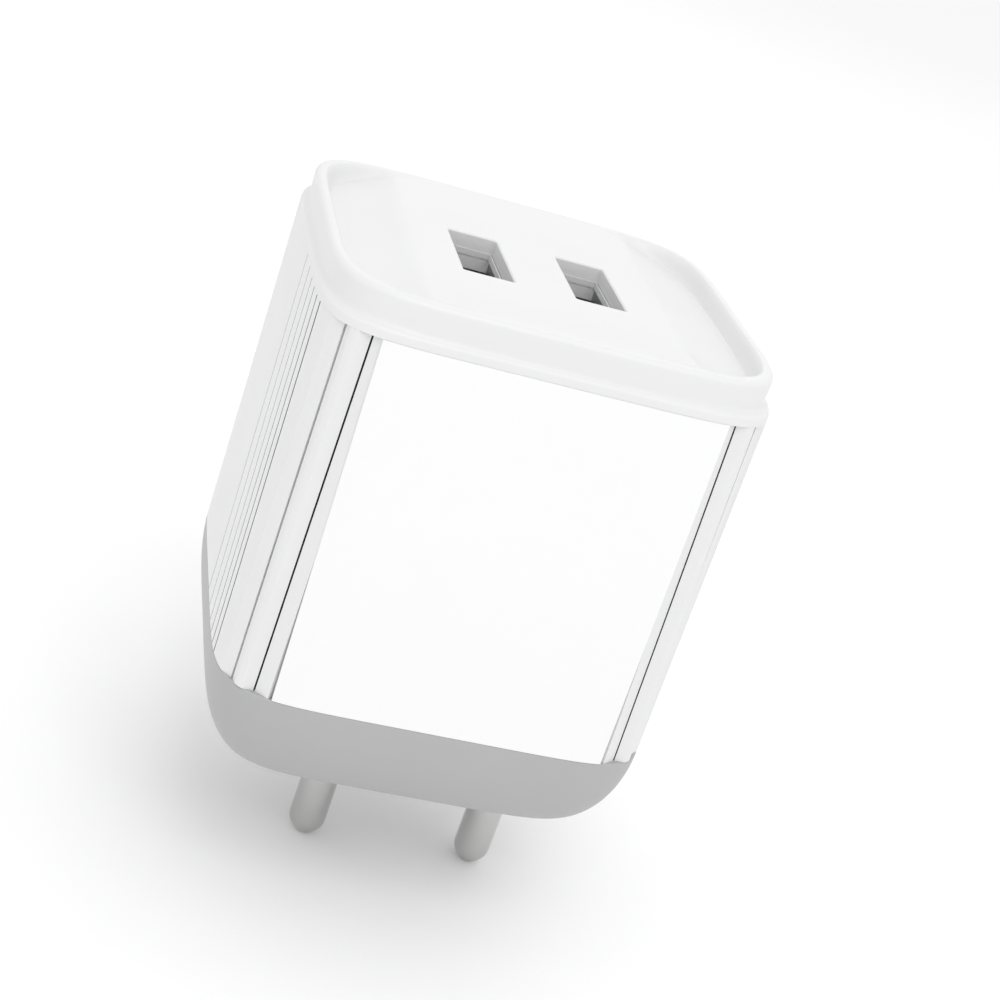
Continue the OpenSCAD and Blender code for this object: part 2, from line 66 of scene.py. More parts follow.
# %% Read the shell's levels
base_low, base_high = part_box("base_cup")
sleeve_low, sleeve_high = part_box("sleeve")
cap_low, cap_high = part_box("face_cap")
BASE_TOP = sleeve_low.z
SLEEVE_TOP = sleeve_high.z
TOP = cap_high.z
FACE_SUNK = 0.6 * MM
FACE = TOP - FACE_SUNK
HALF_WIDTH = base_high.x
LOW_DEPTH = base_high.y
TOP_DEPTH = cap_high.y
SHELL_POWER = 6.6
RIM_POWER = 5.8
SLEEVE_WALL = 2.4 * MM
FIT = 0.1 * MM
print(f"shell {HALF_WIDTH * 2000:.1f} x {LOW_DEPTH * 2000:.1f} mm, top at {TOP * 1000:.1f} mm")


# %% [markdown]
# ## The outline and how a wall grows
# The outline is a superellipse, the curve between a circle and a square. `reach` says
# how far it lies from the middle in one direction. A wall starts as a ring of points
# and is extruded level by level: after each extrude every new point keeps its
# direction and moves to the next outline, so flutes and grooves run on by themselves.
# A loft between two curves would do the same, but this way each level stays in view.

# %% Outline and wall helpers
def reach(angle, level):
    """How far the outline of (half width, half depth, power, height) lies from the middle."""
    wide, deep, power = level[:3]
    c, s = abs(cos(angle)) / wide, abs(sin(angle)) / deep
    return (c ** power + s ** power) ** (-1 / power)


def depth_at(z):
    """Half depth of the sleeve at a height."""
    share = (z - BASE_TOP) / (SLEEVE_TOP - BASE_TOP)
    return LOW_DEPTH + (TOP_DEPTH - LOW_DEPTH) * share


def sleeve_level(z, inset=0.0):
    return (HALF_WIDTH - inset, depth_at(z) - inset, SHELL_POWER, z)


def skin_y(x, z):
    """Half depth of the sleeve's skin at a distance left or right of the middle."""
    return depth_at(z) * (1 - (abs(x) / HALF_WIDTH) ** SHELL_POWER) ** (1 / SHELL_POWER)


def skin_x(y, z):
    """Half width of the sleeve's skin at a distance in front of or behind the middle."""
    return HALF_WIDTH * (1 - (abs(y) / depth_at(z)) ** SHELL_POWER) ** (1 / SHELL_POWER)


def clear():
    bpy.ops.object.select_all(action="DESELECT")


def start_ring(name, points, z):
    """A circle primitive with one corner for each point, set on those points."""
    clear()
    bpy.ops.mesh.primitive_circle_add(vertices=len(points), radius=HALF_WIDTH)
    ring = bpy.context.object
    ring.name = name
    for corner, (x, y) in zip(ring.data.vertices, points):
        corner.co = (x, y, z)
    return ring


def even_ring(level, count):
    """Points all round an outline, evenly spread by direction."""
    turns = [2 * pi * i / count for i in range(count)]
    return [(reach(t, level) * cos(t), reach(t, level) * sin(t)) for t in turns]


def grow_wall(levels, keep=1.0):
    """In edit mode, extrudes the selected ring to each level in turn. keep is the share
    of a notch's depth that lives on."""
    for last, level in zip(levels, levels[1:]):
        bpy.ops.mesh.extrude_region_move()
        mesh = bmesh.from_edit_mesh(bpy.context.object.data)
        for corner in (v for v in mesh.verts if v.select):
            turn = atan2(corner.co.y, corner.co.x)
            notch = reach(turn, last) - hypot(corner.co.x, corner.co.y)
            far = reach(turn, level) - keep * notch
            corner.co = (far * cos(turn), far * sin(turn), level[3])
        bmesh.update_edit_mesh(bpy.context.object.data)


def tidy_mesh(obj, angle=30):
    """Merges doubled corners, turns the faces outwards and smooths all but the sharp edges."""
    clear()
    obj.select_set(True)
    bpy.context.view_layer.objects.active = obj
    bpy.ops.object.mode_set(mode="EDIT")
    bpy.ops.mesh.select_all(action="SELECT")
    bpy.ops.mesh.remove_doubles(threshold=0.000002)
    bpy.ops.mesh.normals_make_consistent(inside=False)
    bpy.ops.object.mode_set(mode="OBJECT")
    bpy.ops.object.shade_smooth_by_angle(angle=radians(angle))


def select_only(obj, mode="VERT"):
    """Makes obj the only selected object, in edit mode with nothing selected in it."""
    clear()
    obj.select_set(True)
    bpy.context.view_layer.objects.active = obj
    bpy.ops.object.mode_set(mode="EDIT")
    bpy.ops.mesh.select_mode(type=mode)
    bpy.ops.mesh.select_all(action="DESELECT")


def place_piece(obj, material, slot, *stands_for):
    """Gives a finished piece its material, hangs it under the root empty and hides the CAD nodes it
    stands for.
    """
    obj.data.materials.clear()
    obj.data.materials.append(material)
    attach(obj, "root")
    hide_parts(*stands_for)
    size = " x ".join(f"{side * 1000:.1f}" for side in obj.dimensions)
    print(f"{obj.name}: {len(obj.data.polygons)} faces, {size} mm")


# %% [markdown]
# ## Shared surface effects
# Real moulded plastic is never one flat colour. Three small effects do most of the
# work, and each is a node group used by many materials: a faint drift in tone, a fine
# grain that breaks up reflections, and the drawn lines left by a machine on metal.

# %% Node group helpers
def new_group(name, inputs, outputs):
    """An empty node group with named sockets, and its input and output nodes."""
    group = bpy.data.node_groups.new(name, "ShaderNodeTree")
    for label, kind, value in inputs:
        socket = group.interface.new_socket(label, in_out="INPUT", socket_type=kind)
        if value is not None:
            socket.default_value = value
    for label, kind in outputs:
        group.interface.new_socket(label, in_out="OUTPUT", socket_type=kind)
    return group, group.nodes.new("NodeGroupInput"), group.nodes.new("NodeGroupOutput")


FLOAT, COLOUR, VECTOR = "NodeSocketFloat", "NodeSocketColor", "NodeSocketVector"


# %% Tone drift: a base colour that wanders a little
def make_drift_group():
    group, given, made = new_group(
        "tone_drift",
        [("Place", VECTOR, None), ("Colour", COLOUR, (0.8, 0.8, 0.8, 1)),
         ("Scale", FLOAT, 120.0), ("Amount", FLOAT, 0.04)],
        [("Colour", COLOUR), ("Mask", FLOAT)])
    add, link = group.nodes.new, group.links.new
    noise = add("ShaderNodeTexNoise")
    noise.inputs["Detail"].default_value = 3.0
    link(given.outputs["Place"], noise.inputs["Vector"])
    link(given.outputs["Scale"], noise.inputs["Scale"])
    centred = add("ShaderNodeMath")
    centred.operation = "SUBTRACT"
    centred.inputs[1].default_value = 0.5
    link(noise.outputs["Fac"], centred.inputs[0])
    lift = add("ShaderNodeMath")
    lift.operation = "MULTIPLY_ADD"
    lift.inputs[2].default_value = 1.0
    link(centred.outputs[0], lift.inputs[0])
    link(given.outputs["Amount"], lift.inputs[1])
    tint = add("ShaderNodeVectorMath")
    tint.operation = "SCALE"
    link(given.outputs["Colour"], tint.inputs[0])
    link(lift.outputs[0], tint.inputs["Scale"])
    link(tint.outputs[0], made.inputs["Colour"])
    link(noise.outputs["Fac"], made.inputs["Mask"])
    return group


# %% Fine grain: pits and a rougher or smoother patch here and there
def make_grain_group():
    group, given, made = new_group(
        "fine_grain",
        [("Place", VECTOR, None), ("Scale", FLOAT, 4000.0),
         ("Roughness", FLOAT, 0.35), ("Spread", FLOAT, 0.1)],
        [("Roughness", FLOAT), ("Height", FLOAT)])
    add, link = group.nodes.new, group.links.new
    pits = add("ShaderNodeTexNoise")
    pits.inputs["Detail"].default_value = 2.0
    link(given.outputs["Place"], pits.inputs["Vector"])
    link(given.outputs["Scale"], pits.inputs["Scale"])
    patch = add("ShaderNodeTexNoise")
    patch.inputs["Scale"].default_value = 160.0
    patch.inputs["Detail"].default_value = 4.0
    link(given.outputs["Place"], patch.inputs["Vector"])
    centred = add("ShaderNodeMath")
    centred.operation = "SUBTRACT"
    centred.inputs[1].default_value = 0.5
    link(patch.outputs["Fac"], centred.inputs[0])
    rough = add("ShaderNodeMath")
    rough.operation = "MULTIPLY_ADD"
    link(centred.outputs[0], rough.inputs[0])
    link(given.outputs["Spread"], rough.inputs[1])
    link(given.outputs["Roughness"], rough.inputs[2])
    link(rough.outputs[0], made.inputs["Roughness"])
    link(pits.outputs["Fac"], made.inputs["Height"])
    return group


# %% Drawn lines: long thin scratches, whose direction the caller sets by stretching Place
def make_lines_group():
    group, given, made = new_group(
        "drawn_lines",
        [("Place", VECTOR, None), ("Scale", FLOAT, 900.0), ("Roughness", FLOAT, 0.25),
         ("Spread", FLOAT, 0.2)],
        [("Roughness", FLOAT), ("Height", FLOAT)])
    add, link = group.nodes.new, group.links.new
    lines = add("ShaderNodeTexNoise")
    lines.inputs["Detail"].default_value = 5.0
    link(given.outputs["Place"], lines.inputs["Vector"])
    link(given.outputs["Scale"], lines.inputs["Scale"])
    rough = add("ShaderNodeMath")
    rough.operation = "MULTIPLY_ADD"
    link(lines.outputs["Fac"], rough.inputs[0])
    link(given.outputs["Spread"], rough.inputs[1])
    link(given.outputs["Roughness"], rough.inputs[2])
    link(rough.outputs[0], made.inputs["Roughness"])
    link(lines.outputs["Fac"], made.inputs["Height"])
    return group


DRIFT, GRAIN, LINES = make_drift_group(), make_grain_group(), make_lines_group()
print("node groups:", DRIFT.name, GRAIN.name, LINES.name)


# %% [markdown]
# ## Materials
# Each material is one Principled BSDF whose colour, roughness and bump come from the
# groups. The numbers that are the same all over, such as how metallic it is or how
# strong its clear coat is, are set on the shader's own sockets.

# %% One function for plastics and other moulded surfaces, one for metals
def start_material(name, stretch=(1, 1, 1)):
    material = bpy.data.materials.new(name)
    material.use_nodes = True
    tree = material.node_tree
    place = tree.nodes.new("ShaderNodeTexCoord")
    mapping = tree.nodes.new("ShaderNodeMapping")
    mapping.inputs["Scale"].default_value = stretch
    tree.links.new(place.outputs["Object"], mapping.inputs["Vector"])
    return material, tree, tree.nodes["Principled BSDF"], mapping.outputs["Vector"]


def use_group(tree, group, place, **values):
    node = tree.nodes.new("ShaderNodeGroup")
    node.node_tree = group
    tree.links.new(place, node.inputs["Place"])
    for label, value in values.items():
        node.inputs[label].default_value = value
    return node


def add_bump(tree, shader, height, depth, strength=1.0):
    """depth is the real height of the relief in metres."""
    bump = tree.nodes.new("ShaderNodeBump")
    bump.inputs["Strength"].default_value = strength
    bump.inputs["Distance"].default_value = depth
    tree.links.new(height, bump.inputs["Height"])
    tree.links.new(bump.outputs["Normal"], shader.inputs["Normal"])


def moulded(name, colour, roughness, drift=0.03, grain=4000.0, relief=0.004 * MM,
            coat=0.0, glow=0.0, drift_scale=120.0):
    """A plastic, ceramic or lacquered surface."""
    material, tree, shader, place = start_material(name)
    tone = use_group(tree, DRIFT, place, Colour=(*colour, 1), Scale=drift_scale, Amount=drift)
    grit = use_group(tree, GRAIN, place, Scale=grain, Roughness=roughness, Spread=0.12)
    tree.links.new(tone.outputs["Colour"], shader.inputs["Base Color"])
    tree.links.new(grit.outputs["Roughness"], shader.inputs["Roughness"])
    add_bump(tree, shader, grit.outputs["Height"], relief)
    shader.inputs["Coat Weight"].default_value = coat
    shader.inputs["Coat Roughness"].default_value = 0.08
    if glow:
        shader.inputs["Subsurface Weight"].default_value = glow
        shader.inputs["Subsurface Radius"].default_value = (1.0, 1.0, 1.0)
        shader.inputs["Subsurface Scale"].default_value = 0.4 * MM
    return material


def drawn_metal(name, colour, roughness, stretch, spread=0.15, relief=0.002 * MM, drift=0.08):
    """A metal with drawn or rolled lines. stretch is small along the lines."""
    material, tree, shader, place = start_material(name, stretch)
    tone = use_group(tree, DRIFT, place, Colour=(*colour, 1), Scale=400.0, Amount=drift)
    lines = use_group(tree, LINES, place, Roughness=roughness, Spread=spread)
    tree.links.new(tone.outputs["Colour"], shader.inputs["Base Color"])
    tree.links.new(lines.outputs["Roughness"], shader.inputs["Roughness"])
    add_bump(tree, shader, lines.outputs["Height"], relief)
    shader.inputs["Metallic"].default_value = 1.0
    return material


# %% The finishes of this charger
FINISHES = {
    "housing_white": moulded("housing_white", (0.73, 0.73, 0.735), 0.38, 0.02, glow=0.15),
    "panel_white": moulded("panel_white", (0.83, 0.83, 0.835), 0.24, 0.012, relief=0.002 * MM,
                           coat=0.25),
    "base_grey": moulded("base_grey", (0.40, 0.40, 0.402), 0.46, 0.04, grain=3200.0,
                         relief=0.006 * MM),
    "pin_nickel": drawn_metal("pin_nickel", (0.56, 0.56, 0.555), 0.14, (1, 1, 0.03)),
    "carrier_dark": moulded("carrier_dark", (0.035, 0.035, 0.038), 0.5, 0.12),
    "brass": drawn_metal("brass", (0.72, 0.5, 0.2), 0.24, (0.05, 1, 1)),
    "board_green": moulded("board_green", (0.02, 0.16, 0.06), 0.3, 0.5, grain=900.0,
                           relief=0.02 * MM, coat=0.4, drift_scale=700.0),
    "shell_steel": drawn_metal("shell_steel", (0.34, 0.34, 0.34), 0.3, (1, 1, 0.05)),
    "socket_black": moulded("socket_black", (0.2, 0.2, 0.205), 0.42, 0.1),
    "contact_gold": drawn_metal("contact_gold", (0.83, 0.6, 0.24), 0.18, (1, 1, 0.05)),
    "ferrite": moulded("ferrite", (0.045, 0.045, 0.05), 0.55, 0.4, grain=2500.0,
                       relief=0.02 * MM, drift_scale=900.0),
    "bobbin_black": moulded("bobbin_black", (0.02, 0.02, 0.02), 0.35, 0.1),
    "winding_tape": moulded("winding_tape", (0.75, 0.5, 0.06), 0.28, 0.12, grain=1200.0,
                            relief=0.03 * MM, coat=0.3, drift_scale=500.0),
    "can_sleeve": moulded("can_sleeve", (0.02, 0.025, 0.09), 0.25, 0.1, coat=0.5),
    "disc_blue": moulded("disc_blue", (0.05, 0.16, 0.45), 0.4, 0.15, grain=1500.0,
                         relief=0.02 * MM),
    "resistor_green": moulded("resistor_green", (0.1, 0.28, 0.2), 0.5, 0.2, grain=1800.0),
    "chip_black": moulded("chip_black", (0.018, 0.018, 0.02), 0.6, 0.2, grain=5000.0,
                          relief=0.01 * MM),
    "sheet_clear": moulded("sheet_clear", (0.62, 0.6, 0.5), 0.22, 0.06, grain=700.0,
                           relief=0.01 * MM),
}
print("finishes:", len(FINISHES))

# %% [markdown]
# ## The parts inside
# Boards, transformer and capacitors can't be seen through the shell, so the CAD shapes
# are kept as they are. They still get the finish of the real thing, because the part
# may be opened up or cut away by whoever uses it.

# %% Finish the CAD nodes by their slot
for entry in frame["record"]["subparts"]:
    node = nodes[entry["node"]]
    node.data.materials.clear()
    node.data.materials.append(FINISHES[entry["material_slot"]])


# %% [markdown]
# ## The sleeve
# The white sleeve is a tube whose four corners carry two flutes each, and whose sides
# carry a few fine grooves. All of them run straight up, so they belong in the outline:
# the ring is given a corner wherever a flute or groove turns, and then it is extruded
# once. Cutting each groove afterwards would give the same shape with a rougher mesh.
# The points are sorted by direction, so deep walls run straight towards the middle:
# that keeps every point in its turn, even at the corners.

# %% Where the notches turn
PANEL_HALF = 17.0 * MM
PANEL_GAP = 0.2 * MM
PANEL_THICK = 1.2 * MM
PANEL_TAPER = 0.945
PANEL_JOINT = 0.02 * MM
PANEL_ROUND = 0.22 * MM
FLUTE_DEPTH = 0.7 * MM
FLUTES = ((0.0, 0.28, 0.5), (0.6, 0.66, 0.85))
SLIT_HALF = 0.08 * MM
SLIT_DEPTH = 0.8 * MM
GROOVE_HALF = 0.12 * MM
GROOVE_DEPTH = 0.55 * MM
EDGE = 0.07 * MM
GROOVE_PITCH = 1.6 * MM
GROOVE_GROWTH = 0.45 * MM
GROOVES = [-0.66 * LOW_DEPTH + GROOVE_PITCH * i + GROOVE_GROWTH * i * (i - 1) / 2
           for i in range(6)]
CORNER_START = 0.7 * LOW_DEPTH
GROOVES_END = 0.75 * LOW_DEPTH


def flute_points(z):
    """(x, depth below the skin, further way in towards the middle) for one corner."""
    corner = HALF_WIDTH - PANEL_HALF
    recess = PANEL_HALF + PANEL_GAP
    wall = Vector((recess, skin_y(recess, z)))
    points = [(recess, 0.0, PANEL_THICK * wall.length / wall.y)]
    for shares in FLUTES:
        near, bottom, far = (PANEL_HALF + s * corner for s in shares)
        near = max(near, recess)
        start = FLUTE_DEPTH * (near - PANEL_HALF) / (bottom - PANEL_HALF) if shares[0] == 0 else 0
        if start == 0:
            points += [(near - EDGE, 0.0, 0.0), (near, 0.03 * MM, 0.0)]
        points += [(near + EDGE, start + 0.06 * MM, 0.0),
                   (bottom - SLIT_HALF, FLUTE_DEPTH, 0.0),
                   (bottom - 0.8 * SLIT_HALF, FLUTE_DEPTH, SLIT_DEPTH),
                   (bottom + 0.8 * SLIT_HALF, FLUTE_DEPTH, SLIT_DEPTH),
                   (bottom + SLIT_HALF, FLUTE_DEPTH, 0.0),
                   (far - EDGE, 0.07 * MM, 0.0), (far, 0.02 * MM, 0.0), (far + EDGE, 0.0, 0.0)]
    return points


def groove_points():
    """(y, depth below the skin, further way in) for the fine grooves of one side."""
    points = []
    for y in GROOVES:
        for side in (-1, 1):
            points += [(y + side * (GROOVE_HALF + EDGE), 0.0, 0.0),
                       (y + side * GROOVE_HALF, 0.03 * MM, 0.0),
                       (y + side * (GROOVE_HALF - EDGE / 2), 0.03 * MM, GROOVE_DEPTH)]
    return points


# %% The sleeve's ring of points, in order of direction
def sleeve_ring(z, count=300):
    level = sleeve_level(z)
    points = []
    for side in (-1, 1):
        for x, depth, way_in in flute_points(z):
            y = skin_y(x, z) - depth
            pull = 1 - way_in / hypot(x, y)
            points += [(side * x * pull, y * pull), (side * x * pull, -y * pull)]
        for y, depth, way_in in groove_points():
            x = skin_x(y, z) - depth
            pull = 1 - way_in / hypot(x, y)
            points.append((side * x * pull, y * pull))
    turns = [atan2(y, x) for x, y in points]
    notch_edge = atan2(skin_y(PANEL_HALF, z), PANEL_HALF)
    for x, y in even_ring(level, count):
        turn = atan2(y, x)
        if min(abs(turn - other) for other in turns) < radians(0.15):
            continue
        steep = min(abs(turn), pi - abs(turn))
        if steep > notch_edge:
            y -= PANEL_THICK * (1 if y > 0 else -1)
            if min(abs(atan2(y, x)), pi - abs(atan2(y, x))) > notch_edge:
                points.append((x, y))
        elif not inside_notch(x, y):
            points.append((x, y))
    return sorted(points, key=lambda p: atan2(p[1], p[0]))


def inside_notch(x, y):
    """True where an even point would land in a flute or a groove."""
    share = (abs(x) - PANEL_HALF) / (HALF_WIDTH - PANEL_HALF)
    in_flute = any(near <= share <= far for near, _, far in FLUTES) and abs(y) > CORNER_START
    return in_flute or min(abs(y - groove) for groove in GROOVES) < GROOVE_HALF + EDGE


# %% Extrude the sleeve
def make_sleeve():
    points = sleeve_ring(BASE_TOP)
    sleeve = start_ring("sleeve_shell", points, BASE_TOP)
    select_only(sleeve, "VERT")
    bpy.ops.mesh.select_all(action="SELECT")
    outer = [sleeve_level(z) for z in (BASE_TOP, (BASE_TOP + SLEEVE_TOP) / 2, SLEEVE_TOP)]
    grow_wall(outer)
    inner = [sleeve_level(SLEEVE_TOP), sleeve_level(SLEEVE_TOP, SLEEVE_WALL),
             sleeve_level(BASE_TOP, SLEEVE_WALL)]
    grow_wall(inner, keep=0.0)
    bpy.ops.mesh.select_all(action="DESELECT")
    mesh = bmesh.from_edit_mesh(sleeve.data)
    for edge in mesh.edges:
        edge.select = edge.is_boundary
    bmesh.update_edit_mesh(sleeve.data)
    bpy.ops.mesh.bridge_edge_loops()
    bpy.ops.object.mode_set(mode="OBJECT")
    tidy_mesh(sleeve, 24)
    return sleeve


sleeve = make_sleeve()
place_piece(sleeve, FINISHES["housing_white"], "housing_white", "sleeve")

# %% [markdown]
# ## The painted shade in the slits
# A deep slit in white plastic looks almost black, because little light finds its way
# back out. That shade is painted here: the faces inside the slits and grooves get a second,
# dark material in the same mesh, which keeps the lines crisp.

# %% Paint shade into the slits and grooves
FLUTE_BAND = (PANEL_HALF + 0.5 * MM, PANEL_HALF + 0.75 * (HALF_WIDTH - PANEL_HALF))


def in_slit(centre):
    """True for the centre of a face inside a slit at a flute's bottom or inside a groove."""
    x, y, z = abs(centre.x), centre.y, centre.z
    below = reach(atan2(y, x), sleeve_level(z)) - hypot(x, y)
    if FLUTE_BAND[0] < x < FLUTE_BAND[1] and abs(y) > CORNER_START:
        return FLUTE_DEPTH + 0.15 * MM < below < FLUTE_DEPTH + SLIT_DEPTH + 0.3 * MM
    return abs(y) < GROOVES_END and 0.15 * MM < below < GROOVE_DEPTH + 2 * EDGE


# The dark material on the slit and groove faces is painted shade, not a colour of the plastic.
sleeve.data.materials.append(FINISHES["carrier_dark"])
painted_shade_faces = [face for face in sleeve.data.polygons if in_slit(face.center)]
for face in painted_shade_faces:
    face.material_index = 1
print("dark faces:", len(painted_shade_faces))

# %% [markdown]
# ## The front and back panels
# Each panel is a thin plate that follows the sleeve's skin and sits flush in its
# recess, with a hairline gap along each side. A grid is laid on the skin, extruded
# inwards, and its long edges are bevelled so that they catch the light.

# %% The panels
def make_panel(name, face):
    """face is -1 for the front and 1 for the back."""
    clear()
    bpy.ops.mesh.primitive_grid_add(x_subdivisions=40, y_subdivisions=16, size=2)
    panel = bpy.context.object
    panel.name = name
    low, high = BASE_TOP + PANEL_JOINT, SLEEVE_TOP - PANEL_JOINT
    for corner in panel.data.vertices:
        x = corner.co.x * PANEL_HALF
        z = low + (corner.co.y + 1) / 2 * (high - low)
        corner.co = (x, face * skin_y(x, z), z)
    select_only(panel, "FACE")
    bpy.ops.mesh.select_all(action="SELECT")
    bpy.ops.mesh.extrude_region_move(TRANSFORM_OT_translate={"value": (0, -face * PANEL_THICK, 0)})
    bpy.ops.transform.resize(value=(PANEL_TAPER, 1, 1), center_override=(0, 0, 0))
    bpy.ops.mesh.select_all(action="DESELECT")
    bpy.ops.object.mode_set(mode="OBJECT")
    tidy_mesh(panel)
    select_only(panel, "EDGE")
    mesh = bmesh.from_edit_mesh(panel.data)
    for edge in mesh.edges:
        on_side = all(abs(abs(v.co.x) - PANEL_HALF) < 0.01 * MM for v in edge.verts)
        on_skin = all(abs(v.co.y - face * skin_y(v.co.x, v.co.z)) < 0.02 * MM for v in edge.verts)
        edge.select = on_side and on_skin
    bmesh.update_edit_mesh(panel.data)
    bpy.ops.mesh.bevel(offset=PANEL_ROUND, segments=3, profile=0.5)
    bpy.ops.object.mode_set(mode="OBJECT")
    tidy_mesh(panel, 40)
    return panel


for name, face in (("front_panel_plate", -1), ("back_panel_plate", 1)):
    plate = make_panel(name, face)
    place_piece(plate, FINISHES["panel_white"], "panel_white", name.replace("_plate", ""))

# %% [markdown]
# ## The grey base
# The base rounds in from the split line to the flat face that meets the wall socket.
# Its side is a quarter of an ellipse, so each level's inset comes from one formula.
# Inside it is a cup with a low tongue that the sleeve slides over.

# %% The base
BASE_ROUND = 5.8 * MM
BASE_WALL = 2.2 * MM
TONGUE_HEIGHT = 3.0 * MM
TONGUE_WALL = 1.2 * MM
SPLIT_EDGE = 0.12 * MM


def base_level(z, inset=0.0):
    share = z / BASE_TOP
    pulled = BASE_ROUND * (1 - sqrt(max(0.0, 1 - (1 - share) ** 2))) + inset
    return (HALF_WIDTH - pulled, LOW_DEPTH - pulled, SHELL_POWER, z)


def make_base():
    steps = [(i / 22) ** 2 for i in range(22)]
    side = [base_level(BASE_TOP * s) for s in steps]
    base = start_ring("base_shell", even_ring(side[0], 320), 0.0)
    select_only(base)
    bpy.ops.mesh.select_all(action="SELECT")
    bpy.ops.mesh.edge_face_add()
    bpy.ops.mesh.select_all(action="SELECT")
    tongue = SLEEVE_WALL + FIT
    top = BASE_TOP + TONGUE_HEIGHT
    levels = side + [base_level(BASE_TOP - SPLIT_EDGE), sleeve_level(BASE_TOP, SPLIT_EDGE),
                     sleeve_level(BASE_TOP, tongue), sleeve_level(top, tongue),
                     sleeve_level(top, tongue + TONGUE_WALL),
                     sleeve_level(BASE_TOP, tongue + TONGUE_WALL),
                     base_level(BASE_TOP / 2, BASE_WALL + 1.0 * MM),
                     base_level(BASE_WALL, BASE_WALL)]
    mesh = bmesh.from_edit_mesh(base.data)
    for face in mesh.faces:
        face.select = False
    for edge in mesh.edges:
        edge.select = True
    bmesh.update_edit_mesh(base.data)
    grow_wall(levels)
    bpy.ops.mesh.edge_face_add()
    bpy.ops.object.mode_set(mode="OBJECT")
    tidy_mesh(base, 35)
    return base


base = make_base()


# %% [markdown]
# ## Holes
# A hole is cut with a Boolean: a second piece the shape of the hole is taken away and
# then deleted. Applying the modifier straight away leaves a plain mesh.

# %% Cutting helper, and the two pin holes
def cut_away(obj, cutter):
    clear()
    obj.select_set(True)
    bpy.context.view_layer.objects.active = obj
    cut = obj.modifiers.new("cut", "BOOLEAN")
    cut.operation, cut.solver, cut.object = "DIFFERENCE", "EXACT", cutter
    bpy.ops.object.modifier_apply(modifier=cut.name)
    bpy.data.objects.remove(cutter)


PIN_BOXES = [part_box("pin_left"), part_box("pin_right")]
PIN_RADIUS = 2.0 * MM
SHANK_RADIUS = 1.6 * MM
for low, high in PIN_BOXES:
    clear()
    middle = (low + high) / 2
    bpy.ops.mesh.primitive_cylinder_add(vertices=64, radius=PIN_RADIUS + 0.08 * MM,
                                        depth=8 * MM, location=(middle.x, middle.y, 0))
    cut_away(base, bpy.context.object)
tidy_mesh(base, 35)
place_piece(base, FINISHES["base_grey"], "base_grey", "base_cup")

# %% [markdown]
# ## The pins
# A pin is a round bar with a domed tip, turned on a lathe. Blender's spin does the
# same: half of the pin's profile is drawn as a line and spun about its axis.

# %% Spin a pin
def make_pin(name, low, high):
    middle = (low + high) / 2
    clear()
    bpy.ops.mesh.primitive_circle_add(vertices=3, radius=PIN_RADIUS)
    pin = bpy.context.object
    pin.name = name
    dome = [(PIN_RADIUS * sin(radians(t)), low.z + PIN_RADIUS * (1 - cos(radians(t))))
            for t in range(0, 91, 9)]
    flange = high.x - middle.x
    bar = [(PIN_RADIUS, 0.0), (SHANK_RADIUS, 0.0), (SHANK_RADIUS, 3.7 * MM), (flange, 3.7 * MM),
           (flange, 5.2 * MM), (1.2 * MM, 5.2 * MM), (1.2 * MM, high.z - 0.2 * MM),
           (1.0 * MM, high.z), (0.0, high.z)]
    profile = dome + bar
    select_only(pin)
    bpy.ops.mesh.select_all(action="SELECT")
    bpy.ops.mesh.delete(type="VERT")
    mesh = bmesh.from_edit_mesh(pin.data)
    corners = [mesh.verts.new((middle.x + r, middle.y, z)) for r, z in profile]
    for a, b in zip(corners, corners[1:]):
        mesh.edges.new((a, b))
    bmesh.update_edit_mesh(pin.data)
    bpy.ops.mesh.select_all(action="SELECT")
    bpy.ops.mesh.spin(steps=64, angle=2 * pi, center=(middle.x, middle.y, 0), axis=(0, 0, 1))
    bpy.ops.object.mode_set(mode="OBJECT")
    pin.location = (0, 0, 0)
    tidy_mesh(pin, 35)
    return pin


for name, (low, high) in zip(("pin_left", "pin_right"), PIN_BOXES):
    pin = make_pin(name + "_bar", low, high)
    place_piece(pin, FINISHES["pin_nickel"], "pin_nickel", name)

# %% [markdown]
# ## The cap and its dished face
# The cap starts as a soft shoulder on the sleeve, steps in to a straight rim, and ends
# in a rounded lip. Inside the lip the face is level in the middle and sinks towards the
# left and right ends. It is one more wall of rings that carries on over the lip and
# across the face, and then every ring's points drop to the height of the dish.

# %% The cap's levels
RIM_INSET = 0.5 * MM
LIP_WIDTH = 1.5 * MM
LIP_ROUND = 0.6 * MM
SHOULDER = 1.2 * MM
FACE_SLOPE = 9.0 * MM
DISH_DEPTH = 1.2 * MM
DISH_RUN = 7.5 * MM
END_START = 6.0 * MM
FACE_EDGE = RIM_INSET + LIP_WIDTH
DISH_MIDDLE = HALF_WIDTH - FACE_EDGE
DISH_RADIUS = (DISH_RUN ** 2 + DISH_DEPTH ** 2) / (2 * DISH_DEPTH)
CAP_SKIRT = 2.6 * MM


def rim_level(inset, rise, share=1.0):
    """share runs from the sleeve's own squareness to the rim's."""
    power = SHELL_POWER + (RIM_POWER - SHELL_POWER) * share
    return (HALF_WIDTH - inset, TOP_DEPTH - inset, power, SLEEVE_TOP + rise)


def arc_levels(inset, rise, radius, first, last, steps, share=1.0):
    """Levels round a quarter turn, centred at an inset and a rise."""
    turns = [radians(first + (last - first) * i / steps) for i in range(steps + 1)]
    return [rim_level(inset - radius * cos(t), rise + radius * sin(t), share) for t in turns]


def ease(share):
    """Runs smoothly from 0 to 1."""
    share = min(1.0, max(0.0, share))
    return share * share * (3 - 2 * share)


